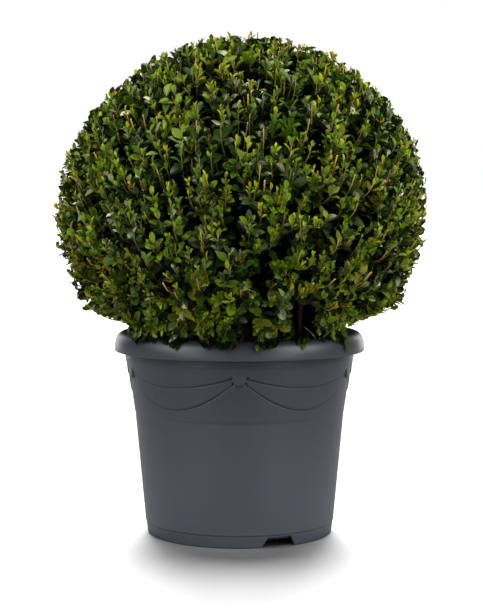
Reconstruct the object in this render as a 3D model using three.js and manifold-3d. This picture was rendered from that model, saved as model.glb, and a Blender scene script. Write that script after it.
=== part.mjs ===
// Clipped privet ball in a round plastic nursery pot.
// Millimetres, +Z up. The origin lies on the ground under the middle of the pot, and the front is -Y.

import * as THREE from "three";
import { mergeVertices } from "three/addons/utils/BufferGeometryUtils.js";
import Module from "manifold-3d";

const wasm = await Module();
wasm.setup();

// Driving dimensions

const clearance = 0.3; // gap between neighbouring solids
const overshoot = 40; // how far a cutting solid runs past what it cuts

const pot = {
  height: 242,
  wall: 2.5,
  facets: 48,
  footRadius: 110.8,
  footHeight: 14,
  footStep: 2.1, // ledge where the foot meets the wall
  wallFootRadius: 113.5,
  floorClearance: 9, // air under the floor plate
  floorThickness: 3,
  ringHeight: 147, // small step round the wall, under the festoons
  ringRadius: 125.6,
  ringStep: 0.6,
  mouthRadius: 139.6, // outside of the wall where it turns into the lip
  lipRadius: 150,
  lipDepth: 22, // height of the turned-down lip
  lipShoulder: 17, // height of its rounded top
  lipSteps: 5,
};

const drain = { count: 3, firstAngle: 24.5, footWidth: 41.5, topWidth: 28, height: 12 };

const festoon = {
  count: 5,
  stationsEach: 12,
  sink: 1, // how far the raised layers reach into the wall
  top: 217,
  upper: { knotHeight: 202.5, sag: 15.9, relief: 1.8 },
  lower: { knotHeight: 199.9, sag: 39.6, relief: 0.9 },
  knot: { width: 16, foot: 190, top: 214, relief: 2.7, roundSteps: 4 },
};

const soil = { level: 226, facets: 24, crown: 3 };

const ball = {
  offset: 3, // the clipped ball stands a little right of the pot's axis
  height: 394, // its middle
  reach: { across: 222, up: 203 }, // furthest tips
  core: { height: 388, across: 194, up: 183, cut: 244, rings: 13, facets: 26 },
  hollow: { across: 96, up: 118, rings: 10, facets: 18 }, // bare space inside, over the stems
};

const mainStem = { radius: 11.5, tipRadius: 8, flare: 0.55, flareHeight: 16, fork: 290, lean: 5 };

const boughs = {
  count: 5,
  firstAngle: 20,
  radius: 5.6,
  tipRadius: 4.2,
  startHeights: [266, 281],
  spread: 58,
  rise: 72,
};

const sideStems = {
  turns: [5, 60, 95, 140, 185, 230, 275, 320], // from the front, towards the viewer's right
  circle: 82,
  circleSpread: 5,
  radius: 3,
  tipRadius: 2.4,
  flare: 0.5,
  flareHeight: 8,
  lean: 7,
  top: 340, // each runs on to here and is cut off where the foliage begins
};

const shoots = {
  count: 116,
  seed: 22,
  lowest: -0.75, // share of the ball's half height where the lowest shoots end
  target: 0.96, // share of the reach that a shoot's tip aims for
  lift: 0.22, // how much the light pulls a shoot upwards
  sink: 9,
  facets: 4, // one for each row of leaves
  radius: 3.4,
  tipRadius: 2.2,
  // Where along the shoot its leaves stand, and how far each leans from the shoot's tip.
  nodes: [
    { along: 0.25, lean: 58 },
    { along: 0.5, lean: 58 },
    { along: 0.88, lean: 24 },
  ],
};

const leaf = {
  length: 46,
  width: 24,
  thickness: 2.2,
  keel: 2.5, // how far the edges fold up from the midrib
  widest: 0.47, // where along the leaf it is widest
  thickest: 0.3, // where along the leaf it is thickest
  turns: [0, 15, 30, 45, 60], // added to a leaf's lean in turn, until it fits the space
  rolls: [0, 35, -35],
};

// Looks

const finish = {
  pot: { color: 0x46494f, roughness: 0.5, metalness: 0 },
  soil: { color: 0x2b211a, roughness: 0.95, metalness: 0 },
  bark: { color: 0x6b4a33, roughness: 0.85, metalness: 0 },
  leaf: { color: 0x2f4a17, roughness: 0.45, metalness: 0 },
};

// Small tools

const radians = THREE.MathUtils.degToRad;
const lerp = THREE.MathUtils.lerp;

function numbersFrom(seed) {
  let state = seed >>> 0;
  return () => {
    state = (state + 0x6d2b79f5) >>> 0;
    let t = Math.imul(state ^ (state >>> 15), state | 1);
    t ^= t + Math.imul(t ^ (t >>> 7), t | 61);
    return ((t ^ (t >>> 14)) >>> 0) / 4294967296;
  };
}

// A closed geometry as a solid: only positions are kept, and triangles that collapsed are dropped.
function solidOf(geometry) {
  const bare = geometry.clone();
  bare.deleteAttribute("normal");
  bare.deleteAttribute("uv");
  const merged = mergeVertices(bare, 1e-4);
  const corners = merged.index.array;
  const kept = [];
  for (let i = 0; i < corners.length; i += 3) {
    const [a, b, c] = corners.subarray(i, i + 3);
    if (a !== b && b !== c && c !== a) kept.push(a, b, c);
  }
  const vertProperties = new Float32Array(merged.attributes.position.array);
  return new wasm.Manifold(
    new wasm.Mesh({ numProp: 3, vertProperties, triVerts: new Uint32Array(kept) }),
  );
}

function geometryOf(solid) {
  const { vertProperties, triVerts } = solid.getMesh();
  const geometry = new THREE.BufferGeometry();
  geometry.setAttribute("position", new THREE.BufferAttribute(vertProperties, 3));
  geometry.setIndex(new THREE.BufferAttribute(triVerts, 1));
  geometry.computeVertexNormals();
  return geometry;
}

function meshOf(name, solid, look) {
  const mesh = new THREE.Mesh(geometryOf(solid), new THREE.MeshStandardMaterial(look));
  mesh.name = name;
  return mesh;
}

// Moves every vertex of a geometry to where the given function puts it.
function reshape(geometry, place) {
  const position = geometry.attributes.position;
  const point = new THREE.Vector3();
  for (let i = 0; i < position.count; i += 1) {
    point.fromBufferAttribute(position, i);
    const moved = place(point);
    position.setXYZ(i, moved.x, moved.y, moved.z);
  }
  return geometry;
}

// Turns a profile of [radius, height] points round the Z axis.
function turned(profile, facets) {
  const points = profile.map(([radius, height]) => new THREE.Vector2(radius, height));
  return new THREE.LatheGeometry(points, facets).rotateX(Math.PI / 2);
}

// A direction on the ground: 0 degrees is the front, and it grows towards the right.
function heading(degrees) {
  return new THREE.Vector3(Math.sin(radians(degrees)), -Math.cos(radians(degrees)), 0);
}

function ellipsoid(across, up, facets, rings, height) {
  return new THREE.SphereGeometry(1, facets, rings)
    .rotateX(Math.PI / 2)
    .scale(across, across, up)
    .translate(0, 0, height);
}

// Pot

function wallRadius(height) {
  const slope = (pot.mouthRadius - pot.ringRadius - pot.ringStep) / (pot.height - pot.ringHeight);
  return pot.ringRadius + pot.ringStep + slope * (height - pot.ringHeight);
}

function potProfile() {
  const lipFoot = pot.height - pot.lipDepth;
  const shoulderFoot = pot.height - pot.lipShoulder;
  const lipInside = pot.lipRadius - pot.wall;
  const lipRoof = pot.height - 2 * pot.wall;
  const floorTop = pot.floorClearance + pot.floorThickness;
  const shoulder = [];
  for (let i = 0; i <= pot.lipSteps; i += 1) {
    const turn = (i / pot.lipSteps) * (Math.PI / 2);
    shoulder.push([
      lerp(pot.mouthRadius, pot.lipRadius, Math.cos(turn)),
      lerp(shoulderFoot, pot.height, Math.sin(turn)),
    ]);
  }
  return [
    [0, pot.floorClearance],
    [pot.footRadius - pot.wall, pot.floorClearance],
    [pot.footRadius - pot.wall, 0],
    [pot.footRadius, 0],
    [pot.footRadius + pot.footStep, pot.footHeight],
    [pot.wallFootRadius, pot.footHeight + pot.footStep],
    [pot.ringRadius, pot.ringHeight],
    [pot.ringRadius + pot.ringStep, pot.ringHeight + pot.ringStep],
    [wallRadius(lipRoof), lipRoof],
    [lipInside - pot.wall, lipRoof - pot.wall],
    [lipInside, lipFoot],
    [pot.lipRadius, lipFoot],
    ...shoulder,
    [pot.mouthRadius - pot.wall, pot.height - pot.wall / 2],
    [wallRadius(pot.ringHeight) - pot.wall, pot.ringHeight],
    [pot.wallFootRadius - pot.wall, floorTop],
    [0, floorTop],
  ];
}

// Height of a festoon's hanging edge: a parabola from knot to knot.
function festoonEdge(angle, { knotHeight, sag }) {
  const span = (2 * Math.PI) / festoon.count;
  const share = (((angle % span) + span) % span) / span;
  return knotHeight - sag * 4 * share * (1 - share);
}

// One raised layer of drapery: a thin ring round the wall whose lower edge hangs in festoons.
function drapeLayer(layer) {
  const inner = 1;
  const outer = 2;
  const section = [[inner, 0], [outer, 0], [outer, 1], [inner, 1], [inner, 0]];
  const ring = turned(section, festoon.count * festoon.stationsEach);
  return reshape(ring, (point) => {
    const angle = Math.atan2(point.x, -point.y);
    const isOuter = Math.hypot(point.x, point.y) > (inner + outer) / 2;
    const height = point.z > 0.5 ? festoon.top : festoonEdge(angle, layer);
    const radius = wallRadius(height) + (isOuter ? layer.relief : -festoon.sink);
    return new THREE.Vector3(radius * Math.sin(angle), -radius * Math.cos(angle), height);
  });
}

// The round-ended tab that gathers the drapery where two festoons meet.
function festoonKnot(degrees) {
  const { width, foot, top, relief, roundSteps } = festoon.knot;
  const half = width / 2;
  const outline = new THREE.Shape();
  outline.moveTo(half, top - foot);
  outline.lineTo(-half, top - foot);
  outline.absarc(0, half, half, Math.PI, 2 * Math.PI, false);
  const tab = new THREE.ExtrudeGeometry(outline, {
    depth: relief + festoon.sink,
    bevelEnabled: false,
    curveSegments: roundSteps,
  });
  const out = heading(degrees);
  const tangent = heading(degrees + 90);
  const up = out.clone().multiplyScalar(wallRadius(top) - wallRadius(foot));
  up.z = top - foot;
  up.normalize();
  const place = new THREE.Matrix4().makeBasis(tangent, up, tangent.clone().cross(up));
  place.setPosition(out.multiplyScalar(wallRadius(foot) - festoon.sink).setZ(foot));
  return tab.applyMatrix4(place);
}

// The wedge of air that one drain notch takes out of the foot.
function drainNotch(degrees) {
  const { footWidth, topWidth, height } = drain;
  const slope = (footWidth - topWidth) / 2 / height;
  const below = 5;
  const outline = new THREE.Shape();
  outline.moveTo(footWidth / 2 + slope * below, -below);
  outline.lineTo(topWidth / 2, height);
  outline.lineTo(-topWidth / 2, height);
  outline.lineTo(-footWidth / 2 - slope * below, -below);
  const cutter = new THREE.ExtrudeGeometry(outline, { depth: 2 * overshoot, bevelEnabled: false });
  const out = heading(degrees);
  const place = new THREE.Matrix4().makeBasis(
    heading(degrees + 90),
    new THREE.Vector3(0, 0, 1),
    out,
  );
  // It starts just inside the foot ring, under the floor plate's edge.
  place.setPosition(out.clone().multiplyScalar(pot.footRadius - 4 * pot.wall));
  return cutter.applyMatrix4(place);
}

function potSolid() {
  const everyTurn = (count, first) =>
    Array.from({ length: count }, (_, i) => first + (i * 360) / count);
  const raised = [
    drapeLayer(festoon.upper),
    drapeLayer(festoon.lower),
    ...everyTurn(festoon.count, 0).map(festoonKnot),
  ];
  const notches = everyTurn(drain.count, drain.firstAngle).map(drainNotch);
  const body = wasm.Manifold.union([turned(potProfile(), pot.facets), ...raised].map(solidOf));
  return body.subtract(wasm.Manifold.union(notches.map(solidOf)));
}

// Soil: fills the pot from its floor plate to a little under the rim.
function soilSolid() {
  const bottom = pot.floorClearance + pot.floorThickness + clearance;
  const inset = pot.wall + 2 * clearance;
  return solidOf(
    turned(
      [
        [0, bottom],
        [pot.wallFootRadius - inset, bottom],
        [wallRadius(pot.ringHeight) - inset - pot.ringStep, pot.ringHeight],
        [wallRadius(soil.level) - inset - soil.crown, soil.level],
        [0, soil.level],
      ],
      soil.facets,
    ),
  );
}

// Limbs

// A round tapering limb along a curve. Its foot is cut flat and may flare into the ground.
function limb(curve, { radius, tipRadius, flare = 0, flareHeight = 1, grow = 0 }) {
  const facets = 8;
  const steps = 6;
  const frames = curve.computeFrenetFrames(steps, false);
  const length = curve.getLength();
  const tube = new THREE.CylinderGeometry(1, 1, 1, facets, steps);
  return reshape(tube, (point) => {
    const along = point.y + 0.5;
    const step = Math.round(along * steps);
    const swell = 1 + flare * Math.exp((-along * length) / flareHeight);
    const thickness = lerp(radius, tipRadius, along) * swell + grow;
    return curve
      .getPoint(along)
      .addScaledVector(frames.normals[step], point.x * thickness)
      .addScaledVector(frames.binormals[step], -point.z * thickness);
  });
}

function mainStemCurve() {
  const foot = soil.level + clearance;
  return new THREE.QuadraticBezierCurve3(
    new THREE.Vector3(0, 0, foot),
    new THREE.Vector3(0, 0, lerp(foot, mainStem.fork, 0.5)),
    new THREE.Vector3(mainStem.lean, 0, mainStem.fork),
  );
}

// A bough leaves the main stem's upper end, arches outwards and rises into the foliage.
function boughCurve(index) {
  const out = heading(boughs.firstAngle + (index * 360) / boughs.count);
  const start = boughs.startHeights[index % boughs.startHeights.length];
  const root = new THREE.Vector3(mainStem.lean / 2, 0, start);
  const elbow = root.clone().addScaledVector(out, boughs.spread * 0.55);
  elbow.z += boughs.rise * 0.3;
  const tip = root.clone().addScaledVector(out, boughs.spread);
  tip.z += boughs.rise * 1.35;
  return new THREE.QuadraticBezierCurve3(root, elbow, tip);
}

// A side stem rises straight out of the soil and then leans outwards.
function sideStemCurve(index, chance) {
  const out = heading(sideStems.turns[index] + 8 * (chance() - 0.5));
  const circle = sideStems.circle - sideStems.circleSpread * chance();
  const foot = out.clone().multiplyScalar(circle).setZ(soil.level + clearance);
  const middle = foot.clone().setZ(lerp(foot.z, sideStems.top, 0.4));
  const tip = out.clone().multiplyScalar(circle + sideStems.lean).setZ(sideStems.top);
  return new THREE.QuadraticBezierCurve3(foot, middle, tip);
}

// Foliage

// The ball's solid heart: an ellipsoid cut off level below, with a bare hollow over the stems.
// A positive gap makes it that much larger on every side.
function coreSolid(gap = 0) {
  const { height, across, up, cut, rings, facets } = ball.core;
  const { hollow } = ball;
  const whole = ellipsoid(across + gap, up + gap, facets, rings, height);
  const below = new THREE.BoxGeometry(3 * across, 3 * across, overshoot + up);
  below.translate(0, 0, cut - gap - (overshoot + up) / 2);
  const bare = ellipsoid(hollow.across - gap, hollow.up - gap, hollow.facets, hollow.rings, cut);
  return solidOf(whole).subtract(solidOf(below)).subtract(solidOf(bare));
}

function share(point, { across, up }) {
  return Math.hypot(point.x / across, point.y / across, (point.z - ball.height) / up);
}

// The space that the foliage keeps to: inside the ball's reach, over the soil, clear of rim and stems.
function inSpace(point, stemCurves) {
  const rimClear = 2;
  const stemClear = sideStems.radius + 2.5;
  const fromAxis = Math.hypot(point.x + ball.offset, point.y);
  const overRim = fromAxis > pot.mouthRadius - 4 * pot.wall;
  const lowest = overRim ? pot.height + rimClear : soil.level + rimClear;
  if (point.z < lowest || share(point, ball.reach) > 1) return false;
  return stemCurves.every((curve) => {
    const foot = curve.getPoint(0);
    const near = Math.hypot(point.x + ball.offset - foot.x, point.y - foot.y);
    return near > stemClear || point.z > ball.core.cut;
  });
}

// A leaf of eight faces. Its root is at the origin, its midrib runs along +X and +Z is its upper side.
function leafGeometry(size) {
  return reshape(new THREE.OctahedronGeometry(1), (point) => {
    const middle = Math.abs(point.y) > 0.5 ? leaf.widest : leaf.thickest;
    const along = Math.abs(point.x) > 0.5 ? (point.x + 1) / 2 : middle;
    return new THREE.Vector3(
      along * leaf.length * size,
      (point.y * leaf.width * size) / 2,
      Math.abs(point.y) * leaf.keel * size + (point.z * leaf.thickness) / 2,
    );
  });
}

function fits(geometry, stemCurves) {
  const position = geometry.attributes.position;
  const point = new THREE.Vector3();
  for (let i = 0; i < position.count; i += 1) {
    if (!inSpace(point.fromBufferAttribute(position, i), stemCurves)) return false;
  }
  return true;
}

// A leaf with its root in the middle of a twig. It leans away from the twig's tip, by the first angle
// and roll that fit the space.
function placedLeaf(node, axis, side, lean, size, stemCurves) {
  for (const turn of leaf.turns) {
    for (const roll of leaf.rolls) {
      const along = axis
        .clone()
        .multiplyScalar(Math.cos(radians(lean + turn)))
        .addScaledVector(side, Math.sin(radians(lean + turn)));
      const up = axis.clone().addScaledVector(along, -axis.dot(along));
      up.normalize().applyAxisAngle(along, radians(roll));
      const place = new THREE.Matrix4().makeBasis(along, up.clone().cross(along), up);
      const placed = leafGeometry(size).applyMatrix4(place.setPosition(node));
      if (fits(placed, stemCurves)) return placed;
    }
  }
  return null;
}

// One shoot: a four-sided twig out of the core, with a pair of leaves and one at its tip.
function shoot(index, chance, stemCurves) {
  const goldenAngle = Math.PI * (3 - Math.sqrt(5));
  const rise = lerp(1, shoots.lowest, (index + 0.5) / shoots.count);
  const turn = index * goldenAngle + 0.3 * (chance() - 0.5);
  const round = new THREE.Vector3(Math.cos(turn), Math.sin(turn), 0);
  const ring = Math.sqrt(1 - rise * rise);
  const target = round.clone().multiplyScalar(ball.reach.across * shoots.target * ring);
  target.z = ball.height + ball.reach.up * shoots.target * rise;

  const { core } = ball;
  const lowestRoot = core.cut + 1.5 * shoots.sink;
  const rootHeight = Math.max(core.height + core.up * rise, lowestRoot);
  const rootShare = (rootHeight - core.height) / core.up;
  const root = round.clone().multiplyScalar(core.across * Math.sqrt(1 - rootShare * rootShare));
  root.z = rootHeight;

  const axis = target.clone().sub(root);
  const length = axis.length();
  axis.normalize();
  axis.z += shoots.lift * Math.max(0, 1 - Math.abs(rise) * 1.3) * (0.5 + chance());
  axis.normalize();
  const twig = new THREE.CylinderGeometry(
    shoots.tipRadius,
    shoots.radius,
    length + shoots.sink,
    shoots.facets,
    1,
  );
  twig.rotateY(Math.PI / shoots.facets).translate(0, (length - shoots.sink) / 2, 0);
  const up = new THREE.Vector3(0, 1, 0);
  const grain = new THREE.Quaternion()
    .setFromUnitVectors(up, axis)
    .multiply(new THREE.Quaternion().setFromAxisAngle(up, chance() * Math.PI));
  twig.applyQuaternion(grain).translate(root.x, root.y, root.z);
  if (!fits(twig, stemCurves)) return [];

  const pieces = [twig];
  const side = new THREE.Vector3(1, 0, 0).applyQuaternion(grain);
  shoots.nodes.forEach(({ along, lean }, i) => {
    const node = root.clone().addScaledVector(axis, length * along);
    const size = 0.85 + 0.3 * chance();
    const placed = placedLeaf(node, axis, side, lean, size, stemCurves);
    if (placed) pieces.push(placed);
    // The second leaf stands opposite the first, and the one at the tip crosses them.
    side.applyAxisAngle(axis, i === 0 ? Math.PI : Math.PI / 2);
  });
  return pieces;
}

function foliageSolid(stemCurves) {
  const chance = numbersFrom(shoots.seed);
  const pieces = [];
  for (let i = 0; i < shoots.count; i += 1) pieces.push(...shoot(i, chance, stemCurves));
  const solids = [coreSolid(), ...pieces.map(solidOf)];
  return wasm.Manifold.union(solids).simplify(0.02);
}

// Assembly: the pot and what grows in it, with the foliage in a group of its own over the offset middle.

const plant = new THREE.Group();
plant.add(meshOf("pot", potSolid(), finish.pot));
plant.add(meshOf("soil", soilSolid(), finish.soil));

const coreClear = coreSolid(clearance).translate([ball.offset, 0, 0]);
const mainCurve = mainStemCurve();
plant.add(meshOf("main_stem", solidOf(limb(mainCurve, mainStem)), finish.bark));

const mainStemClear = solidOf(limb(mainCurve, { ...mainStem, grow: clearance }));
for (let i = 0; i < boughs.count; i += 1) {
  const whole = solidOf(limb(boughCurve(i), boughs));
  const cut = whole.subtract(mainStemClear).subtract(coreClear);
  plant.add(meshOf(`bough_${i + 1}`, cut, finish.bark));
}

const stemChance = numbersFrom(shoots.seed + 1);
const stemCurves = [];
for (let i = 0; i < sideStems.turns.length; i += 1) {
  const curve = sideStemCurve(i, stemChance);
  stemCurves.push(curve);
  const cut = solidOf(limb(curve, sideStems)).subtract(coreClear);
  plant.add(meshOf(`side_stem_${i + 1}`, cut, finish.bark));
}

const crown = new THREE.Group();
crown.position.x = ball.offset;
crown.add(meshOf("foliage_ball", foliageSolid(stemCurves), finish.leaf));
plant.add(crown);

export default plant;
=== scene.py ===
import math
import bpy
import numpy as np
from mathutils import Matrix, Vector


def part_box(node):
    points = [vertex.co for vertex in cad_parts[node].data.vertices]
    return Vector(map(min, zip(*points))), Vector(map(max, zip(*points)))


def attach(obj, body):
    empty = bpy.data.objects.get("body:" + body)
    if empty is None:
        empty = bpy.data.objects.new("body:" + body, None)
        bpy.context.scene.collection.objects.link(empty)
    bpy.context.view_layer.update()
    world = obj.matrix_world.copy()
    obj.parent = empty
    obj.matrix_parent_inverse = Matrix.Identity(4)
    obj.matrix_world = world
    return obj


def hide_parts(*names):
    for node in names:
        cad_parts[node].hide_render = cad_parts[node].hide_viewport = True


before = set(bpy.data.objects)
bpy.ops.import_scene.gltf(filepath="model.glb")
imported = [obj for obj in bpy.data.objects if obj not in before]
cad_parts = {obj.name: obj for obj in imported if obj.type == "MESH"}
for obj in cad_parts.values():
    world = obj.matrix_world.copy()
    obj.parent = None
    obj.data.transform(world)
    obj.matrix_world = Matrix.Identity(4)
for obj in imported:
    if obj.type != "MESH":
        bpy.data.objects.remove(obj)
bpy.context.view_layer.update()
print("frame loaded:", len(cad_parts), "solids")

# metres, in the frame of the solids: the pot's foot is centred on the origin, the viewer is on the -Y side
# and azimuths grow from 0 at the front to the viewer's right

rng = np.random.default_rng(22)
goldenAngle = math.pi * (3 - math.sqrt(5))
up = np.array([0.0, 0.0, 1.0])


# small tools

def unit(v):
    return v / np.maximum(np.linalg.norm(v, axis=-1, keepdims=True), 1e-9)


def smoothStep(x, low, high):
    t = np.clip((x - low) / (high - low), 0, 1)
    return t * t * (3 - 2 * t)


def between(low, high, shape):
    # even chances from low to high
    return low + (high - low) * rng.random(shape)


def heading(azimuth):
    # direction on the ground for an azimuth in radians
    return np.stack([np.sin(azimuth), -np.cos(azimuth), np.zeros_like(azimuth)], -1)


def around(azimuth, radius, height):
    # points by azimuth, distance from the pot's axis and height
    return heading(azimuth) * radius[..., None] + up * height[..., None]


def turned(a, b, angle):
    # a turned towards b by an angle
    return np.cos(angle)[..., None] * a + np.sin(angle)[..., None] * b


def follow(curves, t):
    # points and directions at t of quadratic curves: the ends and the elbow weigh in by the squares and the
    # product of t and 1-t
    start, elbow, end = (curves[:, k][:, None] for k in range(3))
    t = t[..., None]
    points = (1 - t) ** 2 * start + 2 * t * (1 - t) * elbow + t ** 2 * end
    return points, unit((1 - t) * (elbow - start) + t * (end - elbow))


def ringSurface(rings):
    # skin over (rows, columns, 3) closed rings, with a fan to the middle of each end
    rows, columns = rings.shape[:2]
    verts = np.vstack([rings.reshape(-1, 3), rings[0].mean(0), rings[-1].mean(0)])
    r = np.arange(rows - 1)[:, None] * columns
    c = np.arange(columns)[None]
    right = (c + 1) % columns
    a, b, d, e = (x.ravel() for x in (r + c, r + right, r + columns + right, r + columns + c))
    first, last = rows * columns, (rows - 1) * columns
    ring, after = np.arange(columns), right[0]
    faces = np.vstack([np.stack([a, b, d], -1), np.stack([a, d, e], -1),
                       np.stack([np.full(columns, first), after, ring], -1),
                       np.stack([np.full(columns, first + 1), last + ring, last + after], -1)])
    return verts, faces


def repeatFaces(faces, count, step):
    # the same faces for count copies whose vertices follow each other
    return (faces[None] + (np.arange(count) * step)[:, None, None]).reshape(-1, 3)


def meshPiece(name, verts, faces, material, replaced=()):
    # verts (n, 3) and triangles (m, 3) go into the mesh as flat arrays
    mesh = bpy.data.meshes.new(name)
    verts = np.ascontiguousarray(verts, np.float32)
    faces = np.ascontiguousarray(faces, np.int32)
    mesh.vertices.add(len(verts))
    mesh.vertices.foreach_set("co", verts.ravel())
    mesh.loops.add(faces.size)
    mesh.loops.foreach_set("vertex_index", faces.ravel())
    mesh.polygons.add(len(faces))
    mesh.polygons.foreach_set("loop_start", np.arange(0, faces.size, 3, dtype=np.int32))
    mesh.polygons.foreach_set("use_smooth", np.ones(len(faces), bool))
    mesh.update(calc_edges=True)
    mesh.materials.append(material)
    piece = bpy.data.objects.new(name, mesh)
    bpy.context.scene.collection.objects.link(piece)
    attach(piece, "root")
    if replaced:
        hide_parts(*replaced)
    print("  ", name, len(faces), "triangles")
    return piece


# shader groups and materials

def setSockets(node, values):
    for socket, value in values.items():
        node.inputs[socket].default_value = value
    return node


def addNode(nodes, kind, values=None):
    # a shader node with its plain values, by socket
    return setSockets(nodes.new("ShaderNode" + kind), values or {})


def wire(links, *runs):
    for start, output, end, socket in runs:
        links.new(start.outputs[output], end.inputs[socket])


def makeMottle():
    # two colours mixed by noise of one size, the same noise as a height, and a roughness that follows it
    group = bpy.data.node_groups.new("mottle", "ShaderNodeTree")
    inputs = (("First", "Color", (0.1, 0.1, 0.1, 1)), ("Second", "Color", (0.2, 0.2, 0.2, 1)),
              ("Scale", "Float", 50.0), ("Detail", "Float", 4.0), ("Stretch", "Vector", (1.0, 1.0, 1.0)),
              ("Smoothest", "Float", 0.4), ("Roughest", "Float", 0.6))
    for label, kind, default in inputs:
        socket = group.interface.new_socket(label, in_out="INPUT", socket_type="NodeSocket" + kind)
        socket.default_value = default
    for label, kind in (("Color", "Color"), ("Height", "Float"), ("Roughness", "Float")):
        group.interface.new_socket(label, in_out="OUTPUT", socket_type="NodeSocket" + kind)
    start, end = (group.nodes.new("NodeGroup" + way) for way in ("Input", "Output"))
    kinds = ("TexCoord", "Mapping", "TexNoise", "Mix", "MapRange")
    place, stretch, noise, mix, polish = (addNode(group.nodes, kind) for kind in kinds)
    mix.data_type = "RGBA"
    wire(group.links,
         (place, "Object", stretch, "Vector"), (start, "Stretch", stretch, "Scale"),
         (stretch, "Vector", noise, "Vector"), (start, "Scale", noise, "Scale"),
         (start, "Detail", noise, "Detail"),
         (noise, "Fac", mix, "Factor"), (start, "First", mix, "A"), (start, "Second", mix, "B"),
         (noise, "Fac", polish, "Value"), (start, "Smoothest", polish, "To Min"),
         (start, "Roughest", polish, "To Max"),
         (mix, "Result", end, "Color"), (noise, "Fac", end, "Height"), (polish, "Result", end, "Roughness"))
    return group


mottle = makeMottle()


def plainMaterial(name, color, roughness, specular):
    material = bpy.data.materials.new(name)
    material.use_nodes = True
    tree = material.node_tree
    shader = setSockets(tree.nodes["Principled BSDF"], {
        "Base Color": (*color, 1), "Roughness": roughness, "Specular IOR Level": specular})
    return material, shader, tree.nodes, tree.links


def mixColors(nodes, links, factor, a, b):
    # the factor is a socket, and the colours are sockets or plain values
    mix = addNode(nodes, "Mix")
    mix.data_type = "RGBA"
    links.new(factor, mix.inputs["Factor"])
    for socket, value in ((mix.inputs[6], a), (mix.inputs[7], b)):
        if isinstance(value, tuple):
            socket.default_value = (*value, 1)
        else:
            links.new(value, socket)
    return mix.outputs[2]


def placeMottle(nodes, first, second, scale, **more):
    grain = addNode(nodes, "Group")
    grain.node_tree = mottle
    return setSockets(grain, {"First": (*first, 1), "Second": (*second, 1), "Scale": scale, **more})


def mottledMaterial(name, look):
    # a finish whose colour and bump come from the mottle group
    material, shader, nodes, links = plainMaterial(name, look["first"], look["roughness"], look["specular"])
    stretch = look.get("stretch", (1, 1, 1))
    grain = placeMottle(nodes, look["first"], look["second"], look["scale"], Stretch=stretch)
    bump = addNode(nodes, "Bump", {"Strength": look["bump"], "Distance": look["bumpHeight"]})
    wire(links, (grain, "Color", shader, "Base Color"), (grain, "Height", bump, "Height"),
         (bump, "Normal", shader, "Normal"))
    return material


# pot

pot = {
    "height": 0.242, "wall": 0.0025, "pole": 0.002,  # pole: the small ring round the middle of a surface
    "footRadius": 0.1108, "footHeight": 0.014, "footStep": 0.0021, "footRound": 0.0030, "footEdge": 0.0006,
    "wallFootRadius": 0.1135, "crease": 0.0004,
    "floorClearance": 0.009, "floorThickness": 0.003, "floorRing": 0.05,
    "ringHeight": 0.147, "ringRadius": 0.1256, "ringStep": 0.0003, "ringSlope": 0.002,
    "mouthRadius": 0.1396, "lipRadius": 0.150, "lipDepth": 0.022, "lipShoulder": 0.017, "lipEdge": 0.0011,
    "lipTuck": 0.0012, "lipSlope": 0.004, "underLip": 0.222, "innerTop": 0.236,
    "drains": 3, "drainHeight": 0.012,
    "drainAngle": 24.5, "drainFoot": 10.9, "drainTop": 7.3, "drainCorner": 0.3,  # degrees
    "festoons": 5, "festoonTop": 0.2185,
    "upperKnot": 0.2025, "upperSag": 0.0159, "upperRelief": 0.0018,
    "lowerKnot": 0.1999, "lowerSag": 0.0396, "lowerRelief": 0.0009,
    "grooveDepth": 0.00035, "grooveWidth": 0.0014,
    "ribsFrom": 0.2112, "ribPitch": 0.0021, "ribRelief": 0.00016,  # fine ribs under the lip
    "lipShade": 0.95, "shadeFrom": 0.206,  # painted shadow of the lip, darkening up to its underside
    "ears": ((0.0094, 0.1991, 0.0013, 0.0018), (0.0074, 0.1930, 0.0013, 0.0013)),  # beside, height, sizes
    "earDepth": 0.0016,
    "columnStep": 1.25, "knotColumns": 41, "knotColumnSpan": 7.0,  # degrees
}
# the darkest slate colour is painted shade, laid into the festoon grooves, the ear dents and under the lip
slate = {"first": (0.028, 0.031, 0.039), "second": (0.033, 0.036, 0.045), "paintedShade": (0.011, 0.012, 0.015),
         "paintedFootLight": (0.074, 0.078, 0.096), "paintedFootLightFrom": 0.18,  # painted light: paler towards the foot
         "scale": 260.0, "cloudScale": 14.0, "roughness": 0.41, "smoothest": 0.36,
         "roughest": 0.48, "specular": 0.60, "bump": 0.12, "bumpHeight": 0.0004}


def wallRadius(z):
    # the straight upper wall, from the ring step to the mouth
    slope = (pot["mouthRadius"] - pot["ringRadius"] - pot["ringStep"]) / (pot["height"] - pot["ringHeight"])
    return pot["ringRadius"] + pot["ringStep"] + slope * (z - pot["ringHeight"])


def lowWallRadius(z):
    # the straight lower wall, from the foot to the ring step
    foot = pot["footHeight"] + pot["footStep"]
    share = (z - foot) / (pot["ringHeight"] - foot)
    return pot["wallFootRadius"] + share * (pot["ringRadius"] - pot["wallFootRadius"])


def festoonEdge(azimuth, knotHeight, sag):
    # a festoon's hanging edge: a parabola from knot to knot
    span = 2 * math.pi / pot["festoons"]
    share = np.mod(azimuth, span) / span
    return knotHeight - sag * 4 * share * (1 - share)


def drainLift(azimuth):
    # height of the foot's lower edge: a flat-topped wedge over each drain notch
    third = 2 * math.pi / pot["drains"]
    away = np.abs(np.mod(azimuth - math.radians(pot["drainAngle"]) + third / 2, third) - third / 2)
    foot, top = math.radians(pot["drainFoot"]), math.radians(pot["drainTop"])
    return pot["drainHeight"] * np.clip((foot - away) / (foot - top), 0, 1)


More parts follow.
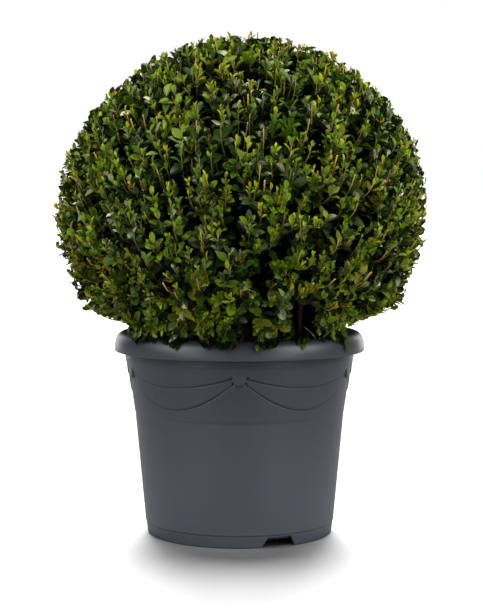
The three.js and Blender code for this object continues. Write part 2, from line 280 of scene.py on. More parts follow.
def potColumns():
    # even columns, closer ones at the knots, and one at each corner of a drain notch
    even = np.arange(0, 360, pot["columnStep"])
    knots = np.arange(pot["festoons"])[:, None] * 360 / pot["festoons"]
    close = knots + np.linspace(-1, 1, pot["knotColumns"]) * pot["knotColumnSpan"]
    notches = pot["drainAngle"] + np.arange(pot["drains"])[:, None] * 360 / pot["drains"]
    foot, top, corner = pot["drainFoot"], pot["drainTop"], pot["drainCorner"]
    corners = np.array([foot, foot + corner, top, top - corner])
    corners = notches + np.concatenate([corners, -corners])
    columns = np.concatenate([even, close.ravel() % 360, corners.ravel() % 360])
    return np.radians(np.unique(np.round(columns, 2)))


def earDents(azimuth, radius, z):
    # round dents at both sides of each knot, as deep as a bell curve of the distance
    span = 2 * math.pi / pot["festoons"]
    beside = np.abs(np.mod(azimuth + span / 2, span) - span / 2) * radius
    dent = np.zeros_like(beside)
    for ear, height, wide, tall in pot["ears"]:
        dent = np.maximum(dent, np.exp(-((beside - ear) / wide) ** 2 - ((z - height) / tall) ** 2))
    return dent


def bandRows(az, low):
    # the festoon band above low, as rows of height, relief and painted shade: they follow the festoons'
    # edges, where the wall steps out behind a groove painted dark as shade, and end in a wave of fine ribs
    lower = festoonEdge(az, pot["lowerKnot"], pot["lowerSag"])
    upper = festoonEdge(az, pot["upperKnot"], pot["upperSag"])
    width, depth = pot["grooveWidth"], pot["grooveDepth"]
    band = []
    for share in np.linspace(0.25, 0.95, 6):
        band.append((low + share * (lower - width - low), 0.0, 0.0))
    layers = ((lower, 0.0, pot["lowerRelief"], upper - width),
              (upper, pot["lowerRelief"], pot["upperRelief"], pot["ribsFrom"]))
    for edge, below, above, end in layers:
        band += [(edge - width, below, 0.0), (edge - width * 0.55, below - depth * 0.7, 0.8),
                 (edge - width * 0.15, below - depth, 1.0),
                 (edge + width * 0.15, above - 0.35 * (above - below), 0.5), (edge + width * 0.5, above, 0.1)]
        for share in (0.12, 0.25, 0.4, 0.6, 0.8, 0.97):
            band.append((edge + width + share * (end - edge - width), above, 0.0))
    for z in np.linspace(pot["ribsFrom"], pot["festoonTop"], 22):
        wave = 0.5 - 0.5 * math.cos(2 * math.pi * (z - pot["ribsFrom"]) / pot["ribPitch"])
        band.append((z * np.ones_like(az), pot["upperRelief"] + pot["ribRelief"] * wave, 0.0))
    return band


def potRows(az):
    # the profile from the floor's middle, out under the foot, up the wall, over the lip and down inside,
    # as rows of radius, height and painted shade
    one = np.ones_like(az)
    rows = []

    def row(radius, z, paintedShade=0.0):
        rows.append((radius * one, z * one, paintedShade * one))

    def arc(radius, z, wide, tall, first, last, count):
        # part of an ellipse round a radius and a height, between two turns in degrees
        for turn in np.radians(np.linspace(first, last, count)):
            row(radius + wide * np.cos(turn), z + tall * np.sin(turn))

    foot, wall, edge, lift = pot["footRadius"], pot["wall"], pot["footEdge"], drainLift(az)
    under, floorTop = pot["floorClearance"], pot["floorClearance"] + pot["floorThickness"]
    row(pot["pole"], under)
    row(pot["floorRing"], under)
    row(foot - wall - pot["crease"], under)
    row(foot - wall, np.maximum(under - pot["crease"], lift))
    row(foot - wall, lift)
    row(foot - edge, lift)
    row(foot, lift + edge)
    for share in np.linspace(0.1, 1, 5):
        z = lift + share * (pot["footHeight"] - lift)
        row(foot + pot["footStep"] * z / pot["footHeight"], z)
    crease, roundTop = foot + pot["footStep"], pot["footHeight"] + pot["crease"] + pot["footRound"]
    arc(crease, roundTop, lowWallRadius(roundTop) - crease, pot["footRound"], -90, 0, 9)
    ringLow, ringHigh = pot["ringHeight"] - pot["ringSlope"], pot["ringHeight"] + pot["ringSlope"]
    for z in np.linspace(roundTop + 0.002, ringLow - 0.001, 16):
        row(lowWallRadius(z), z)
    for share in np.linspace(0, 1, 9):
        z = ringLow + share * (ringHigh - ringLow)
        blend = smoothStep(share, 0, 1)
        row((1 - blend) * lowWallRadius(z) + blend * wallRadius(z), z)
    for z, relief, paintedShade in bandRows(az, ringHigh):
        # painted shade: the grooves and the ear dents are marked for the dark slate colour
        dent = earDents(az, wallRadius(z), z)
        # painted shadow under the lip: the wall darkens up to the lip's underside
        lipShadow = pot["lipShade"] * smoothStep(z, pot["shadeFrom"], pot["festoonTop"])
        row(wallRadius(z) + relief - pot["earDepth"] * dent, z, np.maximum(np.maximum(paintedShade, dent), lipShadow))
    lipEdge, lipRadius, mouth = pot["lipEdge"], pot["lipRadius"], pot["mouthRadius"]
    bandTop = pot["festoonTop"] + pot["lipTuck"]
    row(wallRadius(bandTop), bandTop)
    lipFoot, lipInside = pot["height"] - pot["lipDepth"], lipRadius - wall
    lipRoof = pot["height"] - 2 * wall
    for z in np.linspace(pot["underLip"], lipRoof, 4):
        row(wallRadius(z), z)
    row(lipInside - wall, lipRoof - wall)
    row(lipInside - pot["crease"], lipFoot + pot["lipSlope"])
    row(lipInside, lipFoot + pot["lipTuck"])
    arc(lipRadius - wall / 2, lipFoot + lipEdge, wall / 2, lipEdge, -180, 0, 7)
    arc(mouth, pot["height"] - pot["lipShoulder"], lipRadius - mouth, pot["lipShoulder"], 0, 90, 18)
    row(mouth - wall * 0.6, pot["height"] - 0.0002)
    row(mouth - wall, pot["height"] - wall / 2)
    for z in np.linspace(pot["innerTop"], pot["ringHeight"], 8):
        row(wallRadius(z) - wall, z)
    row(pot["wallFootRadius"] - wall, floorTop)
    row(pot["pole"], floorTop)
    return (np.array(x) for x in zip(*rows))


def slateMaterial():
    # satin moulded plastic: fine grain, broad faint clouds, painted light pale low down, painted shade in
    # grooves
    material = mottledMaterial("slatePlastic", slate)
    nodes, links = material.node_tree.nodes, material.node_tree.links
    shader = nodes["Principled BSDF"]
    clouds = placeMottle(nodes, slate["first"], slate["second"], slate["cloudScale"],
                         Smoothest=slate["smoothest"], Roughest=slate["roughest"])
    paintedShade, place, height = (addNode(nodes, kind) for kind in ("Attribute", "TexCoord", "SeparateXYZ"))
    paintedShade.attribute_name = "paintedShade"
    low = addNode(nodes, "MapRange", {"From Min": slate["paintedFootLightFrom"], "From Max": 0.0})
    wire(links, (clouds, "Roughness", shader, "Roughness"), (place, "Object", height, "Vector"),
         (height, "Z", low, "Value"))
    # painted light: the colour pales towards the foot
    footLit = mixColors(nodes, links, low.outputs["Result"], clouds.outputs["Color"], slate["paintedFootLight"])
    # painted shade mixed in wherever the mesh's shade attribute marks it
    colour = mixColors(nodes, links, paintedShade.outputs["Fac"], footLit, slate["paintedShade"])
    links.new(colour, shader.inputs["Base Color"])
    return material


def makePot(material):
    az = potColumns()
    radius, height, paintedShade = potRows(az)
    verts, faces = ringSurface(around(az, radius, height))
    piece = meshPiece("potShell", verts, faces, material, ["pot"])
    mark = piece.data.attributes.new("paintedShade", "FLOAT", "POINT")
    mark.data.foreach_set("value", np.append(paintedShade.ravel(), [0, 0]).astype(np.float32))
    return piece


knot = {"foot": 0.1900, "top": 0.2115, "bottomHalf": 0.0066, "earHalf": 0.0084, "earHeight": 0.199,
        "belly": 0.0030, "footRelief": 0.0026, "topRelief": 0.0014, "sink": 0.0012, "points": 96,
        "levels": ((0.1, -1.0), (1.0, -1.0), (1.0, 0.35), (0.985, 0.75), (0.95, 0.95), (0.88, 1.0),
                   (0.5, 1.03), (0.1, 1.04))}  # share of the outline, rise as a share of the relief


def makeKnots(material):
    # a tab with a bellied lower edge and sides that lean out; rings of its outline shrink to the middle as
    # they rise from inside the wall to the relief, which falls from foot to top
    foot, top, belly = knot["foot"], knot["top"], knot["belly"]
    v = np.linspace(0, 2 * math.pi, knot["points"], endpoint=False)
    square = np.maximum(np.abs(np.cos(v)), np.abs(np.sin(v)))
    across, along = np.cos(v) / square, np.sin(v) / square
    z = foot + (top - foot) * (along + 1) / 2
    flare = smoothStep(z, foot + belly, knot["earHeight"])
    x = across * (knot["bottomHalf"] + (knot["earHalf"] - knot["bottomHalf"]) * flare)
    z = z + belly * across ** 2 * (1 - along) / 2
    middle = (foot + top) / 2
    parts = []
    for az in 2 * math.pi * np.arange(pot["festoons"]) / pot["festoons"]:
        out, side = heading(az), heading(az + math.pi / 2)
        rings = []
        for share, rise in knot["levels"]:
            beside, high = x * share, middle + (z - middle) * share
            fall = smoothStep(high, foot, top)
            relief = knot["footRelief"] + (knot["topRelief"] - knot["footRelief"]) * fall
            lift = np.where(rise < 0, -knot["sink"], rise * relief)
            r = wallRadius(high) + lift - beside ** 2 / (2 * wallRadius(high))
            rings.append(out * r[:, None] + side * beside[:, None] + up * high[:, None])
        parts.append(ringSurface(np.array(rings)))
    verts, faces = parts[0]
    faces = repeatFaces(faces, len(parts), len(verts))
    return meshPiece("festoonKnots", np.vstack([p[0] for p in parts]), faces, material)


print("pot")
potPlastic = slateMaterial()
potShell = makePot(potPlastic)
potKnots = makeKnots(potPlastic)


# soil

soil = {"level": 0.226, "inset": 0.0006, "columns": 160, "rings": 60, "crumb": 0.0022, "settle": 0.7,
        "smoothRim": 0.1, "rimDrop": 0.004, "skirt": 0.15, "clear": 0.0003}
peat = {"first": (0.010, 0.006, 0.004), "second": (0.035, 0.022, 0.014), "scale": 320.0,
        "roughness": 0.95, "specular": 0.2, "bump": 0.9, "bumpHeight": 0.002}


def makeSoil():
    # a disc whose height is the soil level plus crumbs, with a rim that runs down the wall and a flat bottom
    az = np.linspace(0, 2 * math.pi, soil["columns"], endpoint=False)
    share = np.linspace(0.02, 1, soil["rings"])[:, None]
    inset = pot["wall"] + soil["inset"]
    edge = wallRadius(soil["level"]) - inset
    radius = share * edge * np.ones_like(az)
    crumbs = rng.normal(0, 1, radius.shape)
    crumbs = (crumbs + np.roll(crumbs, 1, 1) + np.roll(crumbs, 1, 0) + np.roll(crumbs, -1, 1)) / 2
    crumbs = crumbs * smoothStep(1 - share, 0, soil["smoothRim"]) - soil["settle"]
    height = soil["level"] + soil["crumb"] * crumbs
    bottom = pot["floorClearance"] + pot["floorThickness"] + soil["clear"]
    skirt = ((edge, soil["level"] - soil["rimDrop"]), (wallRadius(soil["skirt"]) - inset, soil["skirt"]),
             (pot["wallFootRadius"] - inset, bottom), (pot["pole"], bottom))
    radius = np.vstack([radius] + [np.full((1, len(az)), r) for r, z in skirt])
    height = np.vstack([height] + [np.full((1, len(az)), z) for r, z in skirt])
    verts, faces = ringSurface(around(az, radius, height)[::-1])
    meshPiece("pottingSoil", verts, faces, mottledMaterial("pottingSoil", peat), ["soil"])


print("soil")
makeSoil()


# limbs

# the bark's own tan, raised as painted light so that stems in the ball's shade read lit
bark = {"first": (0.250, 0.125, 0.052), "second": (0.560, 0.320, 0.150), "scale": 180.0,
        "stretch": (1, 1, 0.25), "roughness": 0.85, "specular": 0.25, "bump": 0.7, "bumpHeight": 0.001}
mainStem = {"radius": 0.0115, "tipRadius": 0.008, "flare": 0.55, "flareHeight": 0.016, "fork": 0.290,
            "lean": 0.005}
boughs = {"count": 5, "firstAngle": 20, "radius": 0.0056, "tipRadius": 0.0042,
          "startHeights": (0.266, 0.281), "spread": 0.058, "rise": 0.072,
          "elbow": (0.55, 0.3), "tipRise": 1.35}
sideStems = {"count": 8, "circle": 0.080, "radius": 0.0030, "tipRadius": 0.0024, "flare": 0.5,
             "flareHeight": 0.008, "lean": 0.007, "top": 0.340, "elbow": 0.4}
limbSkin = {"rings": 40, "sides": 20, "ridge": 0.035, "sink": 0.002}


def tubes(curves, size):
    # circles carried along quadratic curves: the radius runs from start to end, swells at the foot by a
    # falling exponential and ripples by ridge; both ends are closed by a point on the curve
    size = {"flare": 0.0, "flareHeight": 1.0, "ridge": 0.0, **size}
    count, rings, sides = len(curves), size["rings"], size["sides"]
    t = np.broadcast_to(np.linspace(0, 1, rings), (count, rings))
    centre, along = follow(curves, t)
    hint = np.where(np.abs(along[:, :1, 2:]) > 0.9, np.array([1.0, 0, 0]), up)
    sideways = unit(np.cross(np.broadcast_to(hint, along.shape), along))
    across = np.cross(along, sideways)
    length = np.linalg.norm(curves[:, 2] - curves[:, 0], axis=1)[:, None]
    thick, thin = (np.reshape(size[key], (-1, 1)) for key in ("radius", "tipRadius"))
    radius = (thick * (1 - t) + thin * t) * (1 + size["flare"] * np.exp(-t * length / size["flareHeight"]))
    turn = np.linspace(0, 2 * math.pi, sides, endpoint=False)
    twist = t[..., None]
    ripple = 1 + size["ridge"] * (np.sin(3 * turn + 9 * twist) + 0.7 * np.sin(5 * turn - 14 * twist))
    wheel = turned(sideways[:, :, None], across[:, :, None], turn)
    skin = centre[:, :, None] + (radius[..., None] * ripple)[..., None] * wheel
    ends = np.stack([centre[:, 0], centre[:, -1] + along[:, -1] * radius[:, -1:] * 0.5], 1)
    verts = np.concatenate([skin.reshape(count, -1, 3), ends], 1)
    _, faces = ringSurface(skin[0])
    return verts.reshape(-1, 3), repeatFaces(faces, count, rings * sides + 2)


def numbered(name, count):
    return [f"{name}_{i + 1}" for i in range(count)]


def growLimbs():
    # the same curves as the solids: a short leaning stem, boughs that arch out of its fork, and side stems
    foot, fork, lean = soil["level"] - limbSkin["sink"], mainStem["fork"], mainStem["lean"]
    stem = np.array([[[0, 0, foot], [0, 0, (foot + fork) / 2], [lean, 0, fork]]])
    which = np.arange(boughs["count"])
    out = heading(np.radians(boughs["firstAngle"] + which * 360 / boughs["count"])) * boughs["spread"]
    rise = up * boughs["rise"]
    start = np.array(boughs["startHeights"])[which % 2]
    root = np.stack([np.full(len(which), lean / 2), np.zeros(len(which)), start], -1)
    elbowOut, elbowUp = boughs["elbow"]
    elbow = root + out * elbowOut + rise * elbowUp
    bough = np.stack([root, elbow, root + out + rise * boughs["tipRise"]], 1)
    # a side stem stands in the middle of its solid and leans out from there
    corners = np.array([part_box(node) for node in numbered("side_stem", sideStems["count"])])
    middle = corners.mean(1) * np.array([1, 1, 0])
    base = middle + up * foot
    tip = middle * (1 + sideStems["lean"] / sideStems["circle"]) + up * sideStems["top"]
    elbow = base + up * sideStems["elbow"] * (sideStems["top"] - foot)
    return stem, bough, np.stack([base, elbow, tip], 1)


def makeLimbs():
    wood = mottledMaterial("stemBark", bark)
    stem, bough, sideStem = growLimbs()
    pieces = (("mainStemBark", stem, mainStem, ["main_stem"]),
              ("boughBark", bough, boughs, numbered("bough", boughs["count"])),
              ("sideStemBark", sideStem, sideStems, numbered("side_stem", sideStems["count"])))
    for name, curves, size, nodes in pieces:
        verts, faces = tubes(curves, {**limbSkin, **size})
        meshPiece(name, verts, faces, wood, nodes)
    return np.concatenate([bough, sideStem])


print("limbs")
limbs = makeLimbs()


# ball

ball = {"centre": (0.003, 0.0, 0.394), "across": 0.222, "up": 0.203, "lowest": -0.97,
        "swells": (((-0.80, -0.20, -0.55), 0.03), ((-0.75, -0.10, 0.65), -0.035)),  # where and by how much
        "swellWidth": 0.2, "footSwell": 0.07, "footSwellAt": -0.70, "footSwellWidth": 0.16,
        "footHeight": 0.2555, "footSlope": 2.6, "overhang": 0.005, "footWave": 0.003,
        "footLoose": 0.14, "looseBetween": (0.268, 0.292), "sideClip": 0.016, "clipBetween": (0.250, 0.262),
        "rimZone": 0.02, "clearance": 0.001}
ground = {"mouthInset": 0.004, "lipGap": 0.0005, "besideLip": 0.012}
ballCentre = np.array(ball["centre"])
ballSize = np.array([ball["across"], ball["across"], ball["up"]])


def swell(directions):
    # the clipped outline is fuller at the viewer's lower left and flatter at the upper left, each by a bell
    # curve of the distance between directions, and fuller all round its foot by a bell curve of the height
    foot = (directions[..., 2] - ball["footSwellAt"]) / ball["footSwellWidth"]
    share = 1.0 + ball["footSwell"] * np.exp(-foot ** 2)
    for where, by in ball["swells"]:
        away = np.sum((directions - unit(np.array(where))) ** 2, -1)
        share = share + by * np.exp(-away / ball["swellWidth"])
    return share


def ballPoints(count, share, wobble):
    # even points on the ball, as in the solids: equal steps down and a golden turn for each
    i = np.arange(count)
    rise = 1 + (ball["lowest"] - 1) * (i + 0.5) / count
    turn = i * goldenAngle + wobble * (rng.random(count) - 0.5)
    ring = np.sqrt(np.maximum(0, 1 - rise ** 2))
    onBall = np.stack([ring * np.cos(turn), ring * np.sin(turn), rise], -1)
    return onBall, ballCentre + onBall * ballSize * np.reshape(share * swell(onBall), (-1, 1))


def reachShare(points):
    inside = (points - ballCentre) / ballSize
    return np.linalg.norm(inside, axis=-1) / swell(unit(inside))


def potTop(points):
    # height of what lies under a point: soil, then the round of the lip, then a little below the lip's top
    mouth, lipRadius = pot["mouthRadius"], pot["lipRadius"]
    r = np.hypot(points[..., 0], points[..., 1])
    over = np.clip((r - mouth) / (lipRadius - mouth), 0, 1)
    lip = pot["height"] - pot["lipShoulder"] * (1 - np.sqrt(1 - over ** 2))
    under = np.where(r < mouth - ground["mouthInset"], soil["level"], lip)
    return np.where(r > lipRadius + ground["lipGap"], pot["height"] - ground["besideLip"], under)


def footLimit(z):
    # the ball's foot is clipped straight, from the pot's rim outwards and up
    return pot["lipRadius"] + np.maximum(ball["overhang"], ball["footSlope"] * (z - ball["footHeight"]))


def inSpace(points, reach=1.0):
    # inside the ball's reach, which loosens at its foot, within the clipped foot and above the pot
    x, y, z = points[..., 0], points[..., 1], points[..., 2]
    reach = reach + ball["footLoose"] * (1 - smoothStep(z, *ball["looseBetween"]))
    inside = (reachShare(points) < reach) | (z < pot["height"] + ball["rimZone"])
    radius, turn = np.hypot(x, y), np.arctan2(y, x)
    across = (x / np.maximum(radius, 0.001)) ** 4  # the lip's left and right ends lie bare
    wave = ball["footWave"] * (np.sin(7 * turn) + np.sin(17 * turn))
    clip = ball["sideClip"] * across * (1 - smoothStep(z, *ball["clipBetween"]))
    limit = footLimit(z) + wave - clip
    return inside & (radius < limit) & (z > potTop(points) + ball["clearance"])


gaps = {"ranges": ((0.060, 0.086, 0.238, 0.290), (-0.001, 0.017, 0.234, 0.262)),  # x and z ranges
        "front": -0.036, "share": 0.85}


def beforeStem(points):
    # which points lie in front of the side stems that show
    x, y, z = points[..., 0], points[..., 1], points[..., 2]
    found = np.zeros(x.shape, bool)
    for left, right, low, high in gaps["ranges"]:
        found |= (x > left) & (x < right) & (z > low) & (z < high) & (y < gaps["front"])
    return found


def sampled(curves):
    return follow(curves, np.linspace(0.1, 1, 10)[None])[0]


def crossesGap(curves):
    return beforeStem(sampled(curves)).any(1)


def inGap(points):
    # most leaves are missing in front of two side stems
    found = beforeStem(points.mean(-2))
    return found & (rng.random(found.shape) < gaps["share"])


branches = {"count": 116, "share": 0.68, "lowest": 0.262, "wobble": 0.3, "feed": (0.7, 1.0), "bend": 0.45,
            "radius": 0.0026, "tipRadius": 0.0016, "rings": 10, "sides": 7}
twigs = {"count": 900, "share": 0.76, "spread": 0.08, "lowest": 0.252, "wobble": 0.5, "feed": (0.55, 0.98),
         "bend": 0.4, "radius": 0.0014, "tipRadius": 0.0009, "rings": 7, "sides": 5}
shoots = {"count": 3000, "shareLow": 0.93, "shareHigh": 0.990, "bias": 1.6, "wobble": 0.9,
          "feed": (0.45, 1.0), "gather": 0.24, "scatter": 0.003, "pairs": 7, "below": 0.03, "lowest": 0.243,
          "lowestSpread": 0.02, "risesBetween": (-0.85, 0.0), "up": 2.0, "upShare": (0.5, 1.6),
          "aimSpread": 0.2, "bend": 0.6, "footInset": 0.005, "mostReach": 1.02,
          "strays": 0.07, "strayShare": 1.005,  # a few shoots stand out of the clipped outline
          "bare": 0.032, "cut": 0.10, "young": 0.50,  # shares, each counted on from the one before
          "radius": 0.0010, "tipRadius": 0.0006, "bareRadius": 0.0009, "rings": 7, "sides": 5}


def growFrom(parents, ends, low, high):
    # each end is fed by the nearest parent, from a point between low and high along it
    nearest = np.argmin(np.linalg.norm(ends[:, None] - parents[None, :, 2], axis=2), 1)
    start, along = follow(parents[nearest], between(low, high, len(ends))[:, None])
    return nearest, start[:, 0], along[:, 0]


def growInside(parents, kind, share):
    # curves that leave their parents along the parents' own directions and end on a smaller ball
    _, ends = ballPoints(kind["count"], share, kind["wobble"])
    ends[:, 2] = np.maximum(ends[:, 2], kind["lowest"])
    _, start, along = growFrom(parents, ends, *kind["feed"])
    reach = np.linalg.norm(ends - start, axis=1)[:, None]
    curves = np.stack([start, start + along * kind["bend"] * reach, ends], 1)
    return curves[~crossesGap(curves)]


def growShoots(twig):
    # clipped shoots end near the ball's outline, or over the pot's mouth; each leans to its twig's bundle and
    # turns up to the light, more on the sides than at the foot
    count, outermost = shoots["count"], shoots["shareHigh"]
    share = outermost - (outermost - shoots["shareLow"]) * rng.random(count) ** shoots["bias"]
    share[rng.random(count) < shoots["strays"]] = shoots["strayShare"]
    onBall, ends = ballPoints(count, share, shoots["wobble"])
    ends[:, 2] = np.maximum(ends[:, 2], shoots["lowest"] + shoots["lowestSpread"] * rng.random(count))
    rising = smoothStep(onBall[:, 2], *shoots["risesBetween"])
    feeder, start, _ = growFrom(twig, ends - shoots["below"] * rising[:, None] * up, *shoots["feed"])
    bundle = unit((twig[feeder, 2] - ballCentre) / ballSize) * ballSize * share[:, None] + ballCentre
    ends = ends + shoots["gather"] * (bundle - ends) + rng.normal(0, shoots["scatter"], ends.shape)
    over = np.maximum(1, reachShare(ends) / np.maximum(share, outermost))[:, None]
    ends = ballCentre + (ends - ballCentre) / over
    wide = np.hypot(ends[:, 0], ends[:, 1])
    ends[:, :2] *= np.minimum(1, (footLimit(ends[:, 2]) - shoots["footInset"]) / wide)[:, None]
    lift = shoots["up"] * rising * between(*shoots["upShare"], count)
    aim = unit(onBall + lift[:, None] * up + rng.normal(0, shoots["aimSpread"], onBall.shape))
    reach = np.linalg.norm(ends - start, axis=1)[:, None]
    shoot = np.stack([start, ends - aim * shoots["bend"] * reach, ends], 1)
    clear = ~crossesGap(shoot) & inSpace(sampled(shoot), shoots["mostReach"]).all(1)
    return onBall[clear], feeder[clear], shoot[clear], share[clear]


# leaves

# places, sizes and leans go from a shoot's foot to its tip
leaf = {"length": 0.0112, "width": 0.60, "fold": 0.24, "curl": (-0.048, 0.240), "stalk": 0.07,
        "seekLight": 0.55, "mostTurn": 1.6, "rollSpread": 0.3, "turnSpread": 0.35, "leanSpread": 0.18,
        "uneven": (0.84, 1.16), "vigour": (0.78, 1.33), "topLarger": 0.2, "largerBetween": (-0.2, 0.8),
        "places": (0.12, 0.32, 0.51, 0.68, 0.82, 0.92, 0.985),
        "sizes": (1.0, 1.15, 1.2, 1.12, 1.0, 0.85, 0.7), "leans": (76, 70, 64, 58, 50, 40, 26),
        "slide": 0.015, "bareShare": 0.5, "lostPairs": 2, "strayRoom": 0.02, "lightUp": 0.7,
        "youngPairs": 3, "youngSize": 0.75, "youngWidth": 0.78, "youngLean": 0.66, "mostTriangles": 180000}
leafKinds = {  # upper face, roughness, gloss: base colours dealt out by spray
    # the inner leaves' near-black colour is painted shade for the ball's inside
    "leavesInnerShade": ((0.002, 0.004, 0.0003), 0.60, 0.05),
    # the shade leaves' near-black colour is painted shade for leaves deep in a spray
    "leavesShade": ((0.003, 0.008, 0.0003), 0.48, 0.14),
    "leavesDeep": ((0.010, 0.030, 0.0008), 0.27, 0.62),
    "leavesGreen": ((0.040, 0.092, 0.001), 0.31, 0.52),
    "leavesFresh": ((0.100, 0.172, 0.002), 0.38, 0.32),
    "leavesOlive": ((0.100, 0.118, 0.002), 0.41, 0.28),
    "leavesYoung": ((0.260, 0.310, 0.010), 0.45, 0.22),
    "leavesGold": ((0.330, 0.235, 0.012), 0.48, 0.22),
    "leavesDry": ((0.170, 0.075, 0.022), 0.60, 0.20),
}
innerShadeKind, shadeKind, deepKind, greenKind, freshKind, oliveKind, youngKind, goldKind, dryKind = range(9)


def leafTemplate():
    # one leaf on a grid of stations and sides, with a vertex row along its midrib and two outlines to mix
    stations = ((0.12, 0.50, 0.36), (0.38, 1.00, 0.86), (0.66, 0.78, 1.00), (0.89, 0.34, 0.66))
    points = [(0.0, 0, 0, 0)]
    for along, pointed, blunt in stations:
        points += [(along, pointed, blunt, side) for side in (-1, 0, 1)]
    points.append((1.0, 0, 0, 0))
    faces = [(0, 1, 2), (0, 2, 3)]
    for a in (1, 4, 7):
        faces += [(a, a + 4, a + 1), (a, a + 3, a + 4), (a + 1, a + 5, a + 2), (a + 1, a + 4, a + 5)]
    faces += [(10, 13, 11), (11, 13, 12)]
    return np.array(points).T, np.array(faces), (0, 2, 5, 8, 11, 13)


(leafAlong, leafPointed, leafBlunt, leafSide), leafFaces, leafRib = leafTemplate()


def placeLeaves(node, axis, side, light, size, width, lean):
    # the midrib leaves the shoot towards side, leaning from the shoot's tip by lean; the upper face looks to
    # the tip and turns about the midrib to the light; the halves fold up and the end curls by a square
    along = turned(axis, side, lean)
    face = unit(axis - along * np.sum(axis * along, -1, keepdims=True))
    across = np.cross(face, along)
    seek = np.arctan2(np.sum(light * across, -1), np.sum(light * face, -1))
    seek = leaf["seekLight"] * np.clip(seek, -leaf["mostTurn"], leaf["mostTurn"])
    roll = seek + leaf["rollSpread"] * rng.normal(0, 1, size.shape)
    face, across = turned(face, across, roll), turned(across, -face, roll)
    blunt, size = np.sqrt(rng.random(size.shape))[..., None], size[..., None]
    half = leafSide * (leafPointed + blunt * (leafBlunt - leafPointed)) * size * width[..., None] / 2
    lift = leaf["fold"] * 2 * np.abs(half) - between(*leaf["curl"], size.shape) * leafAlong ** 2 * size
    reach = (leafAlong + leaf["stalk"]) * size
    parts = ((reach, along), (half, across), (lift, face))
    return node[..., None, :] + sum(a[..., None] * b[..., None, :] for a, b in parts)


def leafPairs(curves, t, light, size, width, lean):
    # opposite leaves at each t of a curve, each pair turned a quarter from the one before
    node, axis = follow(curves, t)
    first = unit(np.cross(np.broadcast_to(unit(rng.normal(0, 1, (len(t), 1, 3))), axis.shape), axis))
    second = np.cross(axis, first)
    grown = []
    for way in (1, -1):
        turn = np.arange(t.shape[1]) * math.pi / 2 + leaf["turnSpread"] * rng.normal(0, 1, t.shape)
        side = way * turned(first, second, turn)
        uneven = [x * between(*leaf["uneven"], t.shape) for x in (size, width)]
        leaning = lean + leaf["leanSpread"] * rng.normal(0, 1, t.shape)
        grown.append(placeLeaves(node, axis, side, light[:, None], *uneven, leaning))
    return np.stack(grown, 2)


deal = {"sprays": 3, "chances": (0.60, 0.20, 0.09, 0.11),  # of deep, green, fresh and olive
        "shade": (0, 0.02, 0.13, 0.35, 0.68, 0.92, 1.0),  # shade and young go by place from the tip
        "young": (0.6, 0.4, 0.15, 0, 0, 0, 0), "freshPairs": 3, "freshYoung": 0.9, "freshGrown": 0.2,
        "gold": 0.12, "goldLow": 0.2, "lowBetween": (0.1, 0.6), "paintedLightLow": 0.5, "greenLow": 0.6, "dry": 0.008,
        "dryBetween": (0.1, 0.8)}


def dealKinds(onBall, feeder, young):
    # a spray keeps one green; old leaves near its foot take the near-black painted shade, the tip of a
    # growing shoot is fresh or young, and deep leaves at the ball's foot turn paler as painted light
    shape, sprays, young = (len(onBall), shoots["pairs"]), deal["sprays"], young[:, None]
    greens = (deepKind, greenKind, freshKind, oliveKind)
    bySpray = rng.choice(greens, twigs["count"] * sprays, p=deal["chances"])
    kind = np.repeat(bySpray[feeder * sprays + rng.integers(0, sprays, shape[0])][:, None], shape[1], 1)
    fromTip = shape[1] - 1 - np.arange(shape[1])[None]
    chance = rng.random(shape)
    lit = np.where(rng.random(shape) < deal["greenLow"], greenKind, oliveKind)
    low = smoothStep(-onBall[:, 2:], *deal["lowBetween"])
    fresh = np.where(young, deal["freshYoung"], deal["freshGrown"])
    # painted light: deep leaves low on the ball turn to lighter greens
    kind = np.where((kind == deepKind) & (rng.random(shape) < deal["paintedLightLow"] * low), lit, kind)
    kind = np.where(chance < np.array(deal["shade"])[fromTip], shadeKind, kind)
    kind = np.where((fromTip < deal["freshPairs"]) & (chance < fresh), freshKind, kind)
    kind = np.where(young & (chance < np.array(deal["young"])[fromTip]), youngKind, kind)
    golden = rng.random(shape) < deal["gold"] + deal["goldLow"] * low
    kind = np.where((kind == youngKind) & golden, goldKind, kind)
    dry = deal["dry"] * smoothStep(-onBall[:, 2:], *deal["dryBetween"])
    return np.where(rng.random(shape) < dry, dryKind, kind)


def keepLeaves(verts, kind, reach=1.0, grown=True):
    # leaves that lie wholly in the ball's space, without most of those in a gap
    keep = inSpace(verts, reach).all(-1) & grown & ~inGap(verts)
    return verts[keep], kind[keep]


def growLeaves(onBall, shoot, feeder, tip, share):
    # clipped shoots have lost their last pairs, and growing ones end in small narrow leaves held close
    bare, cut, young = tip == 0, tip == 1, tip == 2
    fromTip = shoots["pairs"] - 1 - np.arange(shoots["pairs"])[None]
    t = np.array(leaf["places"]) * np.where(bare, leaf["bareShare"], 1)[:, None]
    t = np.clip(t + between(-leaf["slide"], leaf["slide"], t.shape), 0, 1)
    isTip = young[:, None] & (fromTip < leaf["youngPairs"])
    vigour = between(*leaf["vigour"], (len(shoot), 1))
    vigour = vigour * (1 + leaf["topLarger"] * smoothStep(onBall[:, 2:], *leaf["largerBetween"]))
    size = leaf["length"] * vigour * np.array(leaf["sizes"]) * np.where(isTip, leaf["youngSize"], 1)
    width = leaf["width"] * np.where(isTip, leaf["youngWidth"], 1)
    lean = np.radians(leaf["leans"]) * np.where(isTip, leaf["youngLean"], 1)
    verts = leafPairs(shoot, t, unit(onBall + leaf["lightUp"] * up), size, width, lean)
    kind = np.repeat(dealKinds(onBall, feeder, young)[..., None], 2, 2)
    gone = cut[:, None] & (fromTip < leaf["lostPairs"])
    reach = np.where(share > shoots["shareHigh"], share + leaf["strayRoom"], 1)[:, None, None, None]
    return keepLeaves(verts, kind, reach, ~gone[..., None])


